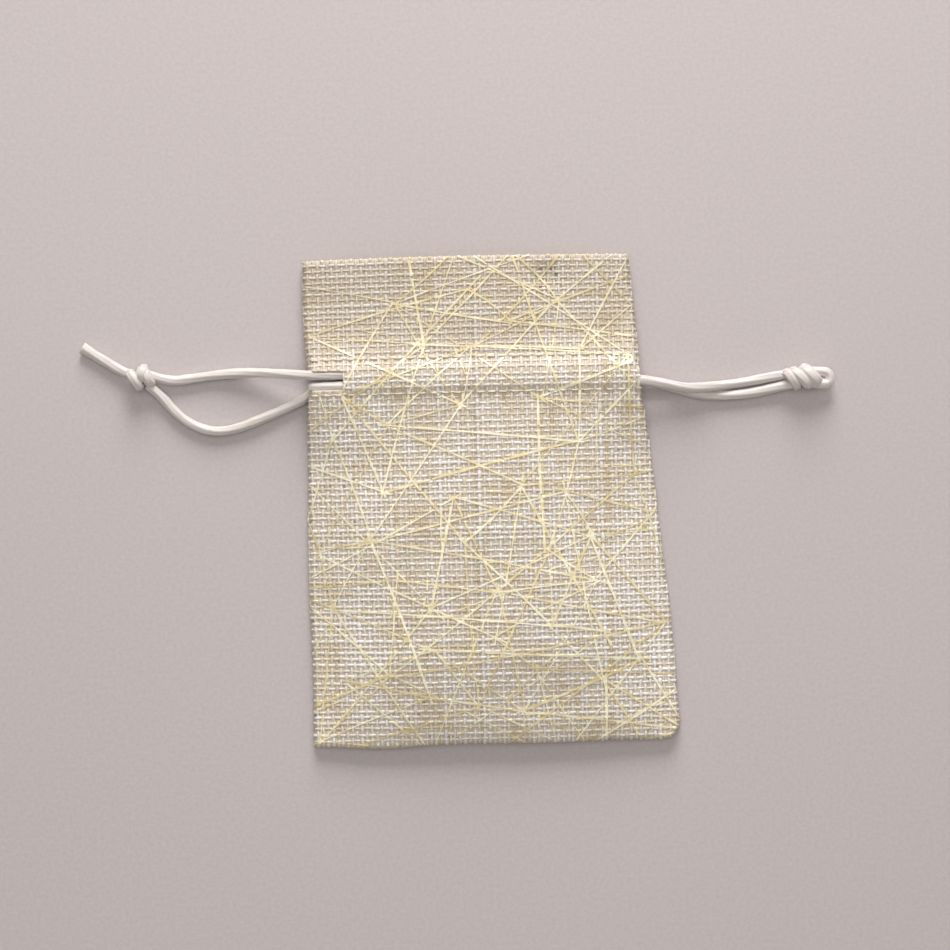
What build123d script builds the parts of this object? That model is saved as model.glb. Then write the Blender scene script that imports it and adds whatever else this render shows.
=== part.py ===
from build123d import *
import os
from math import atan, cos, degrees, pi, radians, sin, sqrt, tan

# A flat-lying drawstring gift sack of stiff, linen-look cloth.
# +X is to the right, +Y runs from the base to the mouth, +Z is up from the table.
# The origin is under the middle of the sack's box, on the table.

# ---- driving sizes, in millimetres ----
sack_height = 140.0            # base to mouth
base_width = 106.0
mouth_width = 94.0
cloth = 0.6                    # thickness of one ply
cord_diameter = 2.7
hem_tail = 1.1                 # hem cloth below the lower casing row
lower_row_height = 101.0       # base to the lower casing row
seam_allowance = 5.0
body_crown = 10.4              # underside of the front panel over the middle of the body
base_rise = 0.4                # how far the front's middle stands above its sides at the base
seam_rise = 1.0                # the same, just above the bottom seam
low_share = 0.55               # share of the full rise reached a little above the base
full_share = 0.46              # share of the body's height at which the rise is full
neck_lift = 0.4                # how far the front's sides rise towards the casing
neck_gap = 5.0                 # open height between the hems, in the middle of the neck
thread = 0.3                   # height of a stitch
thread_width = 0.4
stitch_length = 2.2
stitch_pitch = 3.4
front_slot_depth = 11.4        # cord slot, inwards from the left edge
back_slot_depth = 16.0
right_hem_cutback = 5.2        # the hems stop short of the right edge, for the cord's turn

# ---- clearances ----
ply_gap = 0.1                  # between plies that lie on each other
rest_gap = 0.3                 # between the two hems at the sides
cord_clearance = 0.3           # round a cord in its channel
thread_room = 0.35             # height left for a row of stitches between plies
cord_gap = 0.4                 # between the two cords in a channel
low_margin = 1.45              # lower row to the first cord
high_margin = 2.95             # second cord to the upper row
row_land = 0.5                 # flat cloth each side of a row of stitches

# ---- levels and lines that follow from them ----
base_y = -sack_height / 2
mouth_y = sack_height / 2
left_x = -base_width / 2
cord_radius = cord_diameter / 2
channel = cord_diameter + 2 * cord_clearance
lower_row = base_y + lower_row_height
right_cord_y = lower_row + low_margin + cord_radius
left_cord_y = right_cord_y + cord_diameter + cord_gap
upper_row = left_cord_y + cord_radius + high_margin
channel_low = right_cord_y - cord_radius - ply_gap
channel_high = left_cord_y + cord_radius + high_margin / 3
hem_end = lower_row - hem_tail
header_y = upper_row + 9.0     # where the header's sides lie flat again

back_hem_low = cloth + ply_gap
back_hem_high = cloth + channel
front_hem_edge = back_hem_high + cloth + rest_gap
front_hem_crown = back_hem_high + cloth + neck_gap
over_hem = cloth + ply_gap
over_cord = cloth + channel
body_seam_z = cloth + ply_gap
body_edge = body_seam_z + 2 * cloth + thread_room
header_seam_z = back_hem_low + cloth + ply_gap
header_edge = header_seam_z + 2 * cloth + thread_room


def right_x(y):
    """The right edge leans in from the base to the mouth."""
    return base_width / 2 - (base_width - mouth_width) * (y - base_y) / sack_height


def arch_height(x, y, edge, crown):
    """Height of an arched underside over the point (x, y)."""
    half = (right_x(y) - left_x) / 2
    middle = (right_x(y) + left_x) / 2
    rise = crown - edge
    radius = (half**2 + rise**2) / (2 * rise)
    return crown - radius + sqrt(radius**2 - (x - middle) ** 2)


def arch_section(y, edge, crown):
    """One ply across the sack at y, arched from its sides to its middle."""
    far = right_x(y)
    middle = (left_x + far) / 2
    with BuildSketch(Plane.XZ.offset(-y)) as section:
        with BuildLine():
            ThreePointArc((left_x, edge), (middle, crown), (far, edge))
            Line((far, edge), (far, edge + cloth))
            ThreePointArc((far, edge + cloth), (middle, crown + cloth), (left_x, edge + cloth))
            Line((left_x, edge + cloth), (left_x, edge))
        make_face()
    return section.sketch


def flat_section(y, low):
    """One ply across the sack at y, lying flat."""
    with BuildSketch(Plane.XZ.offset(-y)) as section:
        with BuildLine():
            Polyline(
                (left_x, low),
                (right_x(y), low),
                (right_x(y), low + cloth),
                (left_x, low + cloth),
                close=True,
            )
        make_face()
    return section.sketch


def slot_tool(x_from, x_to, y_from, y_to):
    """An upright block that cuts a cord slot."""
    with BuildPart() as tool:
        with BuildSketch(Plane.XY.offset(-1)):
            with BuildLine():
                Polyline((x_from, y_from), (x_to, y_from), (x_to, y_to), (x_from, y_to), close=True)
            make_face()
        extrude(amount=body_crown + neck_gap + 4 * channel)
    return tool.part


def strip(y_from, y_to, x_from, x_to, low, height):
    """A folded seam allowance: x_from and x_to give its two long edges as functions of y."""
    with BuildPart() as allowance:
        with BuildSketch(Plane.XY.offset(low)):
            with BuildLine():
                Polyline(
                    (x_from(y_from), y_from),
                    (x_to(y_from), y_from),
                    (x_to(y_to), y_to),
                    (x_from(y_to), y_to),
                    close=True,
                )
            make_face()
        extrude(amount=height)
    return allowance.part


def stitch_places(length):
    """Middles of the stitches in a row of this length, from its middle."""
    count = int((length - 2 * stitch_pitch) // stitch_pitch)
    return [(i - (count - 1) / 2) * stitch_pitch for i in range(count)]


def stitch(x, y, low, along_y=False, tilt=0.0):
    """One stitch: a short bar of thread, lying on a ply whose top is at this height."""
    lean = radians(tilt)
    plane = Plane(
        origin=(x, y, low + ply_gap / 2),
        x_dir=(cos(lean), 0, sin(lean)),
        z_dir=(-sin(lean), 0, cos(lean)),
    )
    size = (thread_width, stitch_length) if along_y else (stitch_length, thread_width)
    with BuildPart() as bar:
        with BuildSketch(plane):
            RectangleRounded(*size, thread_width * 0.4)
        extrude(amount=thread)
    return bar.part


def side_stitches(middle_x, y_from, y_to, low):
    """A row of stitches along a side seam."""
    middle = (y_from + y_to) / 2
    places = stitch_places(y_to - y_from)
    return [stitch(middle_x(middle + p), middle + p, low, along_y=True) for p in places]


def slope(x, y, edge, crown):
    """How far an arched ply leans at x, in degrees."""
    reach = stitch_length / 2
    rise = arch_height(x + reach, y, edge, crown) - arch_height(x - reach, y, edge, crown)
    return degrees(atan(rise / stitch_length))


def save(part, name):
    """Label a finished piece and write it."""
    part.label = name
    export_step(part, f"parts/{name}.step")


os.makedirs("parts", exist_ok=True)

# ---- cloth panels ----
front_stations = [
    (base_y, body_edge, body_edge + base_rise),
    (base_y + seam_allowance, body_edge, body_edge + seam_rise),
    (base_y + 5 * seam_allowance, body_edge, body_edge + low_share * (body_crown - body_edge)),
    (base_y + full_share * lower_row_height, body_edge, body_crown),
    (lower_row - 2 * seam_allowance, body_edge + neck_lift, body_crown + neck_lift / 2),
    (lower_row - row_land, front_hem_edge + over_hem, front_hem_crown + over_hem),
    (lower_row + row_land, front_hem_edge + over_hem, front_hem_crown + over_hem),
    (channel_low, front_hem_edge + over_cord, front_hem_crown + over_cord),
    (channel_high, front_hem_edge + over_cord, front_hem_crown + over_cord),
    (upper_row - row_land, front_hem_edge + over_hem, front_hem_crown + over_hem),
    (upper_row + row_land, front_hem_edge + over_hem, front_hem_crown + over_hem),
    (header_y, header_edge + over_hem, front_hem_crown + over_hem),
    (mouth_y, header_edge + over_hem, front_hem_crown + over_hem),
]
front_slot_x = left_x + front_slot_depth
back_slot_x = left_x + back_slot_depth
slot_low = right_cord_y - cord_radius - cord_clearance * 3
slot_high = left_cord_y + cord_radius + cord_clearance
beyond = 10.0

with BuildPart() as front_panel:
    loft([arch_section(*station) for station in front_stations], ruled=True)
    add(slot_tool(left_x - beyond, front_slot_x, slot_low, slot_high), mode=Mode.SUBTRACT)
save(front_panel.part, "front_panel")

with BuildPart() as back_panel:
    with BuildSketch():
        with BuildLine():
            Polyline(
                (left_x, base_y),
                (right_x(base_y), base_y),
                (right_x(mouth_y), mouth_y),
                (left_x, mouth_y),
                close=True,
            )
        make_face()
    extrude(amount=cloth)
    lowest_slot = slot_low - cord_diameter
    add(slot_tool(left_x - beyond, back_slot_x, lowest_slot, slot_high), mode=Mode.SUBTRACT)
save(back_panel.part, "back_panel")

# ---- top hems: the header's lining, and the inner wall of the casing ----
front_hem_stations = [
    (hem_end, front_hem_edge, front_hem_crown),
    (upper_row + row_land, front_hem_edge, front_hem_crown),
    (header_y, header_edge, front_hem_crown),
    (mouth_y - cloth, header_edge, front_hem_crown),
]
right_cut_x = right_x(upper_row) - right_hem_cutback

with BuildPart() as front_hem:
    loft([arch_section(*station) for station in front_hem_stations], ruled=True)
    add(slot_tool(left_x - beyond, front_slot_x, hem_end - 1, slot_high), mode=Mode.SUBTRACT)
    add(slot_tool(right_cut_x, right_cut_x + beyond, hem_end - 1, channel_high), mode=Mode.SUBTRACT)
save(front_hem.part, "front_hem")

back_hem_stations = [
    (hem_end, back_hem_low),
    (lower_row + row_land, back_hem_low),
    (channel_low, back_hem_high),
    (channel_high, back_hem_high),
    (upper_row - row_land, back_hem_low),
    (mouth_y - cloth, back_hem_low),
]
with BuildPart() as back_hem:
    loft([flat_section(*station) for station in back_hem_stations], ruled=True)
    add(slot_tool(left_x - beyond, back_slot_x, hem_end - 1, slot_high), mode=Mode.SUBTRACT)
    add(slot_tool(right_cut_x, right_cut_x + beyond, hem_end - 1, channel_high), mode=Mode.SUBTRACT)
save(back_hem.part, "back_hem")

# ---- seams: both plies' allowances, turned inside ----
seam_start = base_y + cloth + seam_allowance + ply_gap
side_seam_end = lower_row - 2.2 * seam_allowance


def left_outer(y):
    return left_x + cloth


def left_inner(y):
    return left_x + cloth + seam_allowance


def left_row(y):
    return left_x + cloth + seam_allowance / 2


def right_outer(y):
    return right_x(y) - cloth


def right_inner(y):
    return right_x(y) - cloth - seam_allowance


def right_row(y):
    return right_x(y) - cloth - seam_allowance / 2


body_ply = 2 * cloth
sides = {"left": (left_outer, left_inner, left_row), "right": (right_outer, right_inner, right_row)}
for side, (outer, inner, row) in sides.items():
    seam = strip(seam_start, side_seam_end, outer, inner, body_seam_z, body_ply)
    save(seam, f"{side}_side_seam")
    stitches = side_stitches(row, seam_start, side_seam_end, body_seam_z + body_ply)
    save(Compound(children=stitches), f"{side}_side_stitches")
    seam = strip(header_y, mouth_y - 2 * cloth, outer, inner, header_seam_z, body_ply)
    save(seam, f"{side}_header_seam")
    stitches = side_stitches(row, header_y, mouth_y - 2 * cloth, header_seam_z + body_ply)
    save(Compound(children=stitches), f"{side}_header_stitches")

bottom_start = base_y + cloth
bottom_end = bottom_start + seam_allowance
bottom_seam = strip(bottom_start, bottom_end, left_outer, right_outer, body_seam_z, body_ply)
save(bottom_seam, "bottom_seam")
bottom_row = (bottom_start + bottom_end) / 2
bottom_middle = (left_x + right_x(bottom_row)) / 2
bottom_stitches = [
    stitch(bottom_middle + p, bottom_row, body_seam_z + body_ply)
    for p in stitch_places(right_x(bottom_row) - left_x - 2 * cloth)
]
save(Compound(children=bottom_stitches), "bottom_stitches")

# ---- casing rows: stitches on the front panel, and on the inside of the back hem ----
slot_margin = back_slot_depth + stitch_pitch
for name, y in {"lower": lower_row, "upper": upper_row}.items():
    middle = (left_x + right_x(y)) / 2
    places = [middle + p for p in stitch_places(right_x(y) - left_x)]
    edge = front_hem_edge + over_hem
    crown = front_hem_crown + over_hem
    above = cloth + ply_gap
    front = [
        stitch(x, y, arch_height(x, y, edge, crown) + above, tilt=slope(x, y, edge, crown))
        for x in places
    ]
    save(Compound(children=front), f"front_{name}_stitches")
    clear = [x for x in places if left_x + slot_margin < x < right_cut_x - stitch_length]
    back = [stitch(x, y, back_hem_low + cloth) for x in clear]
    save(Compound(children=back), f"back_{name}_stitches")

# ---- drawstrings ----
# Each cord lies on the table outside the sack, goes through the front channel, turns
# round the far ends of the hems, and comes back through the back channel to its own knot.
turn_radius = 2.4              # the left cord's turn, hidden inside the right edge
fold_radius = 1.7              # the right cord's fold, in the open slot

left_loop_route = [
    (-98.4, 38.6, 2.6),
    (-92.6, 36.3, 1.5),
    (-85.3, 37.3, 1.4),
    (-76.8, 38.3, 1.5),
    (-68.4, 38.5, 2.9),
    (-60.4, 37.9, 5.3),
    (-51.4, 37.0, 7.5),
    (-41.6, 36.9, 9.2),
    (-18.6, 36.9, 11.6),
    (4.5, 36.9, 11.85),
    (27.6, 36.9, 9.95),
    (41.65, 36.9, 7.5),
    (41.65, 36.9, 2.25),
    (32.0, 36.9, 2.25),
    (16.0, 37.0, 2.25),
    (-4.0, 36.85, 2.25),
    (-24.0, 37.0, 2.25),
    (-41.4, 36.9, 2.2),
    (-46.8, 35.6, 1.45),
    (-50.6, 32.6, 1.4),
    (-54.4, 29.9, 1.4),
    (-60.4, 27.3, 1.4),
    (-66.4, 24.9, 1.4),
    (-73.0, 22.4, 1.4),
    (-79.8, 21.5, 1.4),
    (-86.4, 23.8, 1.4),
    (-91.4, 28.0, 1.4),
    (-94.8, 32.5, 1.5),
    (-98.6, 35.6, 2.6),
]
right_loop_route = [
    (88.4, 34.7, 2.8),
    (83.4, 34.1, 1.6),
    (77.2, 33.0, 1.4),
    (70.4, 31.9, 1.5),
    (63.8, 31.3, 2.9),
    (57.2, 31.0, 4.4),
    (50.6, 32.4, 5.7),
    (42.6, 33.8, 7.35),
    (33.4, 33.8, 9.1),
    (12.0, 33.8, 11.45),
    (-9.5, 33.8, 11.95),
    (-31.0, 33.8, 10.6),
    (-43.0, 33.7, 8.75),
    (-51.0, 33.4, 7.9),
    (-51.0, 34.2, 4.4),
    (-45.6, 34.0, 4.4),
    (-39.8, 33.8, 2.3),
    (-32.0, 33.9, 2.25),
    (-14.0, 33.75, 2.25),
    (6.0, 33.9, 2.25),
    (24.0, 33.75, 2.25),
    (37.0, 33.8, 2.25),
    (46.6, 33.2, 2.1),
    (53.4, 31.3, 1.4),
    (60.4, 29.2, 1.4),
    (67.9, 28.6, 1.4),
    (75.6, 29.2, 1.4),
    (82.6, 30.6, 1.6),
    (88.4, 31.8, 2.8),
]
left_tail_route = [(-102.2, 38.2, 3.0), (-106.2, 39.8, 1.6), (-111.2, 43.0, 1.4), (-117.3, 46.9, 1.4)]
right_end_route = [
    (91.0, 34.9, 3.6),
    (95.0, 35.0, 3.2),
    (98.2, 34.5, 2.9),
    (98.2, 31.2, 2.9),
    (94.6, 31.5, 3.2),
    (91.0, 32.0, 3.6),
]


def corner_radii(route, tight=()):
    """A radius for each corner: as large as its two runs allow, or the one that tight gives it."""
    radii = []
    for number in range(1, len(route) - 1):
        before = Vector(*route[number]) - Vector(*route[number - 1])
        after = Vector(*route[number + 1]) - Vector(*route[number])
        half_turn = radians(before.get_angle(after) / 2)
        largest = 0.45 * min(before.length, after.length) / tan(half_turn)
        radii.append(min(largest, dict(tight).get(number, largest)))
    return radii


def cord(route, name, tight=()):
    """A tube along straight runs joined by tangent arcs."""
    radii = corner_radii(route, tight)
    start = Plane(origin=route[0], z_dir=Vector(*route[1]) - Vector(*route[0]))
    with BuildPart() as tube:
        with BuildLine() as path:
            FilletPolyline(*route, radius=radii)
        with BuildSketch(start):
            Circle(cord_radius)
        sweep()
    length = sum(edge.length for edge in path.edges())
    share = tube.part.volume / (pi * cord_radius**2 * length)
    print(name, "length", round(length, 1), "volume share", round(share, 4))
    save(tube.part, name)


def knot(centre, length, radius, end_radius, turn, name):
    """An overhand knot's outer shape: a barrel, with one turn of cord round its middle."""
    along = (cos(radians(turn)), sin(radians(turn)), 0)
    side = (-sin(radians(turn)), cos(radians(turn)), 0)
    lying = Plane(origin=centre, x_dir=along, z_dir=(0, 0, 1))
    across = Plane(origin=centre, x_dir=side, z_dir=along)
    with BuildPart() as body:
        with BuildSketch(lying):
            with BuildLine():
                Line((-length / 2, 0), (-length / 2, end_radius))
                ThreePointArc(
                    (-length / 2, end_radius), (0, radius - cord_radius / 3), (length / 2, end_radius)
                )
                Line((length / 2, end_radius), (length / 2, 0))
                Line((length / 2, 0), (-length / 2, 0))
            make_face()
        revolve(axis=Axis(centre, along))
        with BuildSketch(lying):
            with Locations((0, radius - cord_radius)):
                Circle(cord_radius)
        revolve(axis=Axis(centre, along))
    save(body.part, name)


left_knot_centre = (-100.5, 37.7, 3.4)
right_knot_centre = (90.2, 33.4, 3.5)

left_turn_corners = {11: turn_radius, 12: turn_radius}
right_fold_corners = {13: fold_radius, 14: fold_radius}
cord(left_loop_route, "left_drawstring_loop", left_turn_corners)
cord(left_tail_route, "left_drawstring_tail")
knot(left_knot_centre, 7.4, 3.4, 2.4, 12, "left_drawstring_knot")
cord(right_loop_route, "right_drawstring_loop", right_fold_corners)
cord(right_end_route, "right_drawstring_end", {2: fold_radius, 3: fold_radius})
knot(right_knot_centre, 8.0, 3.5, 2.6, 8, "right_drawstring_knot")
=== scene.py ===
import bpy
import numpy as np
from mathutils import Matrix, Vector


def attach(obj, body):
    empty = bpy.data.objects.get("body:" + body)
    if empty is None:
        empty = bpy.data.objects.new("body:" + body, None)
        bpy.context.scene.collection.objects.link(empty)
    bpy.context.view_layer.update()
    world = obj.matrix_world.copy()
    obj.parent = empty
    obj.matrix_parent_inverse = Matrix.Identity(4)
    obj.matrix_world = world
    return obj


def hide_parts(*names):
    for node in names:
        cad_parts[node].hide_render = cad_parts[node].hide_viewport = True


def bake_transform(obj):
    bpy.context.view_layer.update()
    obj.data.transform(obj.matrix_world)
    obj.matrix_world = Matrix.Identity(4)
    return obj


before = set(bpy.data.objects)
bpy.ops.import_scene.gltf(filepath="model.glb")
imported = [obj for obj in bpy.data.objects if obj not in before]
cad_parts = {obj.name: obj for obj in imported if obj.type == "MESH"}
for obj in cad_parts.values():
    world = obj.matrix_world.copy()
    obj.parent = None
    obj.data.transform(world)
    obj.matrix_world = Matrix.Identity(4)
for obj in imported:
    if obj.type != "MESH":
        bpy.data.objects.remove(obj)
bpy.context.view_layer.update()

MM = 0.001
scene = bpy.context.scene

# A fabric gift sack that lies flat: woven cloth made thread by thread, with foil lines on it, a casing,
# a header, and two cord loops. Shapes are in millimetres until their mesh is written. Lights, the camera
# and bump distances are in metres, and the cloth's UV map is in centimetres.

# ---- sizes, outline and surfaces ----
BASE_Y, MOUTH_Y = -70.0, 70.0
LEFT_X = -53.0
MID_X = -4.5             # where the left and the right halves meet
ROW_Y = 31.0             # lower casing row, where body and neck meet
UPPER_ROW_Y = 41.2
TUCK = 2.0               # the body's cloth goes on this far under the neck's
WARP_PITCH, WEFT_PITCH = 1.41, 1.69
WARP_HALF, WEFT_HALF = 0.42, 0.37
THREAD_RISE = 0.145      # half the thickness of a middling thread
WAVE = 0.12              # how far a thread rises and dips
SLOPE_GAP = 0.05         # how far to each side a surface's slope is taken
SLAB_TOP, SLAB_UNDER = 0.08, 0.26    # the ground's two faces below the middle of the cloth
FILM_STEP, FILM_HALF = 0.36, 0.03    # a foil ribbon's step along its line, and half its thickness
NOTCH_X, NOTCH_LOW, NOTCH_HIGH = -41.6, 32.6, 37.9
BACK_NOTCH_X, BACK_NOTCH_LOW, BACK_NOTCH_HIGH = -37.0, 28.9, 38.6


def bell(v, middle, width):
    return np.exp(-((v - middle) / width) ** 2)


def step(v, low, high):
    t = np.clip((v - low) / (high - low), 0, 1)
    return t * t * (3 - 2 * t)


def along_base(y_range):
    """True for a region whose low end follows the base."""
    return y_range[0] < BASE_Y + 5


def grids(x, y):
    """x and y as arrays of one shape."""
    return np.broadcast_arrays(np.asarray(x, float), np.asarray(y, float))


def right_edge(y):
    straight = 53.0 - 12.0 * (y + 70.0) / 140.0
    return straight + 0.9 * bell(y, -33, 26) - 0.7 * bell(y, 34, 9) + 0.3 * bell(y, 4, 12)


def left_edge(y):
    return LEFT_X + 1.0 * bell(y, 37, 9) + 0.25 * np.sin(y / 11.0)


def base_edge(x):
    return BASE_Y - 1.2 * bell(x, -33, 13) + 4.2 * step(x, 48.4, 53.4) ** 2 - 0.5 * bell(x, 12, 16)


def curve_table(places, heights, blur=1.6):
    """A smooth curve that passes near heights, as a dense table."""
    at = np.arange(-80.0, 80.01, 0.1)
    flat = np.interp(at, places, heights)
    reach = np.arange(-60, 61) * 0.1
    weights = np.exp(-((reach / blur) ** 2))
    weights /= weights.sum()
    padded = np.concatenate([np.full(60, flat[0]), flat, np.full(60, flat[-1])])
    return at, np.convolve(padded, weights, "valid")


# heights of the front and of its hem up the sack, in the middle and at the sides
CROWN = curve_table(
    [-74, -70, -64, -45, -25, -8, 10, 22, 31, 37, 41.2, 47, 58, 74],
    [3.4, 4.2, 6.2, 9.6, 11.4, 12.1, 12.4, 12.7, 12.8, 12.7, 11.9, 11.0, 11.0, 11.4],
)
EDGE = curve_table(
    [-74, -70, -45, 0, 12, 24, 30, 38, 42, 48, 54, 60, 74],
    [3.0, 3.0, 2.9, 2.9, 3.2, 6.0, 7.7, 7.8, 7.0, 5.0, 4.1, 3.9, 4.3],
)
HEM_CROWN = curve_table([-74, 44, 58, 74], [9.7, 9.7, 9.5, 9.8])
HEM_EDGE = curve_table([-74, 42, 50, 60, 74], [5.1, 5.1, 3.0, 2.6, 2.8])


def casing(y):
    """How far the casing stands up over its cords, from 0 to 1."""
    return step(y, 29.3, 34.3) * (1 - step(y, 37.6, 41.4))


def arched(x, y, edge, crown):
    """A height between the sides' and the middle's, and how far x is from the middle, from 0 to 1."""
    far, near = right_edge(y), left_edge(y)
    t = np.clip(np.abs((x - (far + near) / 2) / ((far - near) / 2)), 0, 1)
    edge, crown = np.interp(y, *edge), np.interp(y, *crown)
    return edge + (crown - edge) * (1 - t ** 2.3), t


def dimple(x, y):
    """A small dent near the header's top right."""
    return -0.9 * bell(x, 16.8, 4.6) * bell(y, 63.8, 3.4)


def front_height(x, y):
    """Middle of the front cloth, before its edges turn down."""
    x, y = grids(x, y)
    z, t = arched(x, y, EDGE, CROWN)
    z = z + 0.9 * casing(y)
    z = z - 0.12 * bell(y, ROW_Y, 0.9) - 0.12 * bell(y, UPPER_ROW_Y, 0.9)
    pucker = np.sin(x * 0.83 + 1.1 * np.sin(x * 0.21)) * 0.16
    z = z + pucker * (bell(y, ROW_Y - 2.5, 3.0) + 0.7 * bell(y, UPPER_ROW_Y + 2.0, 2.5))
    wide = 0.28 * np.sin(x * 0.11 + y * 0.043) + 0.2 * np.sin(x * 0.05 - y * 0.14 + 2.0)
    z = z + wide * (1 - t ** 4) * (1 - bell(y, 36, 7)) * step(y, -70, -55)
    return z + dimple(x, y) + 0.3 * bell(x, -40, 9) * bell(y, 60, 10)


def side_opening(x, y):
    """1 where the cloth's right side stays open for the cords, and 0 elsewhere."""
    return step(x, 30, 38) * step(y, 29.6, 31.2) * (1 - step(y, 36.6, 38.4))


def low_height(y):
    """Height where the front and the back cloth meet round the outline."""
    return 1.0 + 1.4 * step(y, 24, 31) * (1 - step(y, 44, 54)) + 0.5 * step(y, 44, 54)


def turn(distance, radius):
    """0 on the outline, 1 where the cloth lies flat, round a quarter circle."""
    t = np.clip(distance / radius, 0, 1)
    return np.sqrt(np.clip(1 - (1 - t) ** 2, 0, 1))


def to_outline(x, y):
    """Distances in from the nearer side and from the base."""
    sides = np.minimum(x - left_edge(y), right_edge(y) - x)
    return sides, y - base_edge(x)


def front_surface(x, y):
    z = front_height(x, y)
    sides, base = to_outline(x, y)
    radius = 1.3 + 0.9 * step(y, 24, 31) * (1 - step(y, 44, 54))
    low = low_height(y)
    shut = 1 - 0.85 * side_opening(x, y)
    z = z - (z - low) * (1 - turn(sides, radius)) * shut
    z = low + (z - low) * turn(base, 1.3)
    return z - 0.4 * (1 - turn(MOUTH_Y - y, 0.7))


def back_surface(x, y):
    x, y = grids(x, y)
    sides, base = to_outline(x, y)
    low = low_height(y)
    shut = 1 - side_opening(x, y)
    rise = np.maximum((1 - turn(sides, 1.2)) * shut, 1 - turn(base, 1.2))
    lift = 0.06 * np.sin(x * 0.16 + y * 0.09) + 0.06
    return 0.42 + lift + (low - 0.5) * rise + 0.4 * (1 - turn(MOUTH_Y - y, 0.7))


def front_hem_surface(x, y):
    x, y = grids(x, y)
    z, _ = arched(x, y, HEM_EDGE, HEM_CROWN)
    return z + dimple(x, y) + 0.4 * (1 - turn(MOUTH_Y - y, 0.8))


def back_hem_surface(x, y):
    x, y = grids(x, y)
    return 1.35 + 3.0 * casing(y) - 0.4 * (1 - turn(MOUTH_Y - y, 0.8))


# ---- foil lines: a random net of straight lines between scattered hubs ----
HUBS, HUB_GAP = 66, 12.0


def runs(keep, least):
    """Start and end of each run of true values that has at least this many of them."""
    ends = np.flatnonzero(np.diff(np.concatenate([[0], keep.astype(int), [0]])))
    return [(a, b) for a, b in zip(ends[::2], ends[1::2]) if b - a >= least]


def foil_net(seed):
    """Lines as an array of x0, y0, x1, y1, half width."""
    draw = np.random.default_rng(seed)
    hubs = []
    while len(hubs) < HUBS:
        spot = draw.uniform((-62, -80), (62, 80))
        if all((spot[0] - h[0]) ** 2 + (spot[1] - h[1]) ** 2 > HUB_GAP ** 2 for h in hubs):
            hubs.append(spot)
    hubs = np.array(hubs)
    lines, headings = [], [[] for _ in hubs]
    for n, hub in enumerate(hubs):
        away = hubs - hub
        reach = np.hypot(away[:, 0], away[:, 1])
        heading = np.arctan2(away[:, 1], away[:, 0])
        lean = np.abs(away[:, 1]) / (np.abs(away[:, 0]) + 6.0)
        wish = np.where((reach > 14) & (reach < 66), np.exp(-lean * 0.4 - np.abs(reach - 30) / 20), 1e-6)
        wish[n] = 0
        made = 0
        for m in draw.choice(len(hubs), size=9, replace=False, p=wish / wish.sum()):
            turns = [abs(np.angle(np.exp(1j * (heading[m] - h)))) for h in headings[n]]
            turns += [abs(np.angle(np.exp(1j * (heading[m] + np.pi - h)))) for h in headings[m]]
            if made == 2 + n % 2 or (turns and min(turns) < 0.27):
                continue
            made += 1
            headings[n].append(heading[m])
            headings[m].append(heading[m] + np.pi)
            jitter = draw.normal(0, 0.3, 4)
            stretch = draw.uniform(-0.02, 0.08, 2)
            start = hub + jitter[:2] - away[m] * stretch[0]
            end = hubs[m] + jitter[2:] + away[m] * stretch[1]
            half = draw.choice([0.16, 0.21, 0.26, 0.34], p=[0.2, 0.35, 0.3, 0.15])
            lines.append([*start, *end, half])
    for _ in range(22):
        start = draw.uniform((-54, -71), (54, 71))
        angle, reach = draw.uniform(0, np.pi), draw.uniform(5, 18)
        end = start + reach * np.array([np.cos(angle), np.sin(angle)])
        lines.append([*start, *end, 0.18])
    return np.array(lines)


def to_foil(x, y, lines):
    """Distance past the edge of the nearest foil line, below 0 on the foil."""
    best = np.full(x.shape, 9.0)
    for x0, y0, x1, y1, half in lines:
        dx, dy = x1 - x0, y1 - y0
        size = dx * dx + dy * dy
        t = np.clip(((x - x0) * dx + (y - y0) * dy) / size, 0, 1)
        taper = half * (0.72 + 0.28 * np.sin(3.0 + 9.0 * t + x0))
        best = np.minimum(best, np.hypot(x - x0 - t * dx, y - y0 - t * dy) - taper)
    return best


def cloth_top(x, y, face):
    """How far the threads' tops stand above the middle of the cloth."""
    crest = np.abs(np.cos(np.pi * x / WARP_PITCH) * np.cos(np.pi * y / WEFT_PITCH))
    return (0.2 + 0.07 * (1 - crest)) * face


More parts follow.
